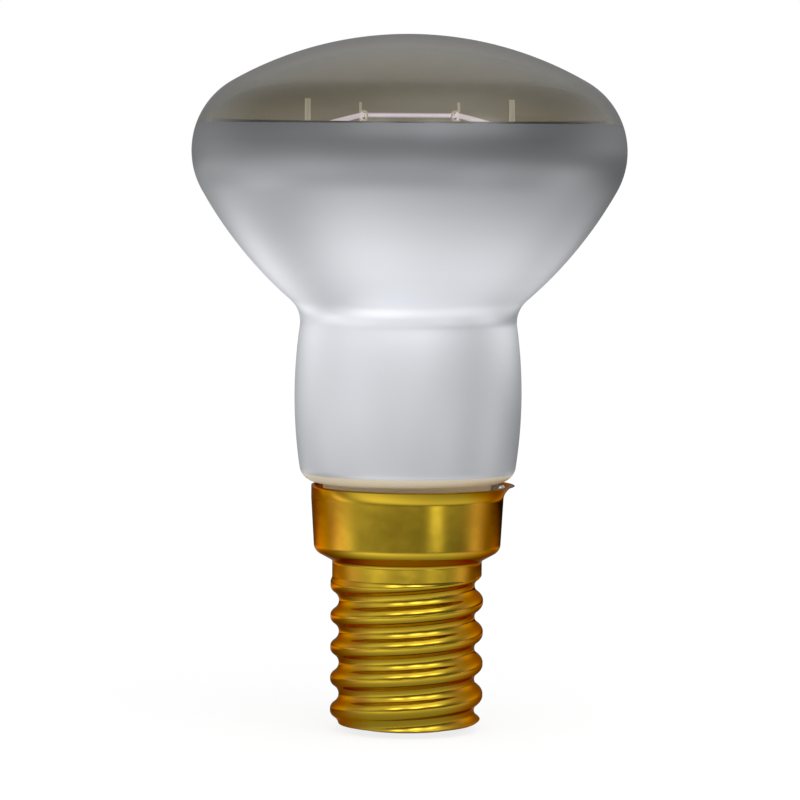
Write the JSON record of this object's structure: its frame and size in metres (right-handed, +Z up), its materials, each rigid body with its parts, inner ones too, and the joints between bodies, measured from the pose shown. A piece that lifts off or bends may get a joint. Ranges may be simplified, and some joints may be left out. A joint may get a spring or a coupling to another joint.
{
  "type": "reflector bulb",
  "caption": "Small mushroom-shaped filament reflector bulb: silvered blown glass with a clear crown, on a right-hand threaded brass screw cap.",
  "frame": {"origin": "lowest point of the centre contact, on the bulb's axis", "axes": "+Z up the bulb's axis from the centre contact to the crown of the glass; the camera of the picture looks along +Y"},
  "size_m": [0.039, 0.039, 0.0627],
  "materials": {
    "clear_glass": "polished",
    "mirror_silver": "satin",
    "stem_glass": "polished",
    "copper_wire": "drawn",
    "nickel_wire": "drawn",
    "tungsten": "satin",
    "yellow_brass": "polished",
    "black_glass": "glossy",
    "solder": "satin",
    "cement": "matt"
  },
  "bodies": {
    "root": {"glass_envelope": "clear_glass", "mirror_coating": "mirror_silver", "glass_stem": "stem_glass", "exhaust_tube": "stem_glass", "button_rod": "stem_glass", "seal_wire_right": "copper_wire", "seal_wire_left": "copper_wire", "inner_lead_right": "nickel_wire", "inner_lead_left": "nickel_wire", "support_wire_right": "nickel_wire", "support_wire_left": "nickel_wire", "filament": "tungsten", "centre_lead": "copper_wire", "side_lead": "copper_wire", "cap_shell": "yellow_brass", "cap_insulator": "black_glass", "contact_eyelet": "yellow_brass", "contact_solder": "solder", "capping_cement": "cement", "side_solder": "solder"}
  },
  "joints": []
}
